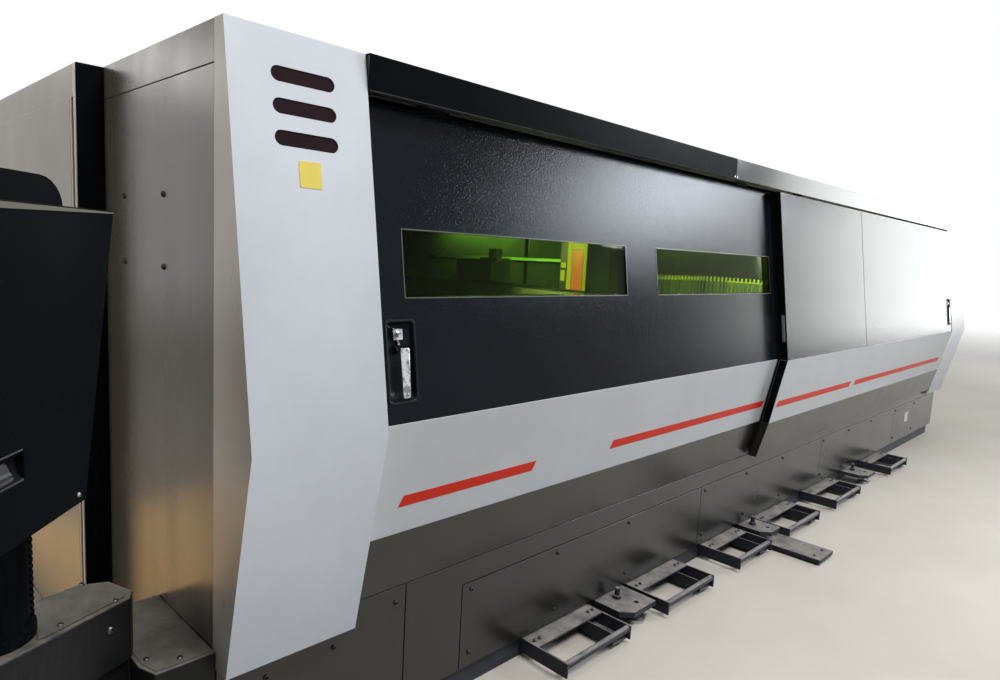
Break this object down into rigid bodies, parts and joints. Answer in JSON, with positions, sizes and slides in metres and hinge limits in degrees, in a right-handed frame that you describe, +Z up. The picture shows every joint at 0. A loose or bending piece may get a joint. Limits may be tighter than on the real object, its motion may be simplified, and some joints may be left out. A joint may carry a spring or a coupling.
{
  "type": "enclosed flat-bed laser cutting machine",
  "caption": "Long enclosed sheet-metal laser cutter with leaning sliding doors, strip windows, a gantry over a slatted pallet and an operator console on an arm.",
  "frame": {"origin": "middle of the whole machine's bounding box, on the floor", "axes": "+X runs to the right along the door side, +Y from the doors to the rear, +Z up"},
  "size_m": [8.4798, 3.2978, 2.142],
  "materials": {
    "pale_silver_paint": "semi-gloss pale silver-grey paint",
    "blue_black_texture_paint": "glossy blue-black fine-texture paint",
    "charcoal_texture_paint": "charcoal fine-texture paint",
    "umber_grey_texture_paint": "dark warm grey fine-texture paint",
    "blue_grey_paint": "matt blue-grey paint on structural steel",
    "machine_grey_paint": "mid grey machine paint",
    "bright_steel": "bright rolled steel",
    "polished_chrome": "polished chrome plate",
    "black_plastic": "black moulded plastic",
    "orange_red_paint": "orange-red gloss paint",
    "green_laser_glass": "green laser-safety glazing",
    "smoked_lens": "smoked plum lens plastic",
    "stop_red": "red plastic",
    "start_green": "green plastic"
  },
  "bodies": {
    "frame": {"base_beam_front": "blue_grey_paint", "base_beam_rear": "blue_grey_paint", "base_cross_beam_left": "blue_grey_paint", "base_cross_beam_right": "blue_grey_paint", "bed_girder_front": "machine_grey_paint", "bed_girder_rear": "machine_grey_paint", "console_arm": "charcoal_texture_paint", "console_platform": "charcoal_texture_paint", "console_post": "blue_black_texture_paint", "door_track": "bright_steel", "header_left": "blue_black_texture_paint", "header_middle": "blue_black_texture_paint", "header_right": "blue_black_texture_paint", "left_pillar": "pale_silver_paint", "left_side_panel": "umber_grey_texture_paint", "levelling_jack_1": "bright_steel", "levelling_jack_2": "bright_steel", "levelling_jack_3": "bright_steel", "rear_panel_left": "charcoal_texture_paint", "rear_panel_right": "charcoal_texture_paint", "right_end_panel": "charcoal_texture_paint", "right_pillar": "pale_silver_paint", "roof_left": "umber_grey_texture_paint", "roof_middle": "umber_grey_texture_paint", "roof_right": "umber_grey_texture_paint", "scrap_trough": "bright_steel", "side_cabinet": "umber_grey_texture_paint", "side_cabinet_cover": "umber_grey_texture_paint", "skirt_corner": "charcoal_texture_paint", "skirt_cover_1": "charcoal_texture_paint", "skirt_cover_2": "charcoal_texture_paint", "skirt_cover_3": "charcoal_texture_paint", "skirt_cover_4": "charcoal_texture_paint", "skirt_rail": "charcoal_texture_paint", "slot_curtain": "machine_grey_paint", "status_lamp_lens": "smoked_lens"},
    "carriage": {"carriage": "blue_black_texture_paint"},
    "console": {"console_housing": "blue_black_texture_paint", "console_screen": "green_laser_glass", "console_yoke": "charcoal_texture_paint"},
    "cutting_head": {"cutting_head": "pale_silver_paint"},
    "pallet": {"cutting_pallet": "bright_steel"},
    "door_1": {"door_1_band": "pale_silver_paint", "door_1_foot": "charcoal_texture_paint", "door_1_handle_dish": "black_plastic", "door_1_lock": "polished_chrome", "door_1_panel": "blue_black_texture_paint", "door_1_window_left": "green_laser_glass", "door_1_window_right": "green_laser_glass"},
    "door_1_lever": {"door_1_lever": "polished_chrome"},
    "door_2": {"door_2_band": "pale_silver_paint", "door_2_foot": "charcoal_texture_paint", "door_2_handle_dish": "black_plastic", "door_2_lock": "polished_chrome", "door_2_panel": "blue_black_texture_paint"},
    "door_2_lever": {"door_2_lever": "polished_chrome"},
    "gantry": {"gantry_beam": "machine_grey_paint", "gantry_drive_cover": "orange_red_paint"},
    "stop_button": {"stop_button": "stop_red"},
    "start_button": {"start_button": "start_green"}
  },
  "joints": [
    {"name": "door_1_slide", "type": "slide", "parent": "frame", "child": "door_1", "axis": [1, 0, 0], "range_m": [0, 2.5]},
    {"name": "door_2_slide", "type": "slide", "parent": "frame", "child": "door_2", "axis": [1, 0, 0], "range_m": [-2.5, 0]},
    {"name": "door_1_lever_swing", "type": "hinge", "parent": "door_1", "child": "door_1_lever", "pos_m": [-2.71077, -1.15711, 1.313], "axis": [1, 0, 0], "range_deg": [-30, 0]},
    {"name": "door_2_lever_swing", "type": "hinge", "parent": "door_2", "child": "door_2_lever", "pos_m": [3.63723, -1.21811, 1.313], "axis": [1, 0, 0], "range_deg": [-30, 0]},
    {"name": "gantry_travel", "type": "slide", "parent": "frame", "child": "gantry", "axis": [1, 0, 0], "range_m": [-0.8, 3.1]},
    {"name": "carriage_travel", "type": "slide", "parent": "gantry", "child": "carriage", "axis": [0, 1, 0], "range_m": [-0.62, 0.89]},
    {"name": "head_lift", "type": "slide", "parent": "carriage", "child": "cutting_head", "axis": [0, 0, 1], "range_m": [-0.14, 0]},
    {"name": "pallet_travel", "type": "slide", "parent": "frame", "child": "pallet", "axis": [1, 0, 0], "range_m": [0, 1.9]},
    {"name": "console_swivel", "type": "hinge", "parent": "frame", "child": "console", "pos_m": [-3.70209, -0.96613, 0], "axis": [0, 0, 1], "range_deg": [-60, 40]},
    {"name": "stop_button_press", "type": "slide", "parent": "console", "child": "stop_button", "axis": [-0.6493, -0.7262, 0.2258], "range_m": [-0.004, 0], "stiffness_N_per_m": 1500},
    {"name": "start_button_press", "type": "slide", "parent": "console", "child": "start_button", "axis": [-0.6493, -0.7262, 0.2258], "range_m": [-0.004, 0], "stiffness_N_per_m": 1500}
  ]
}
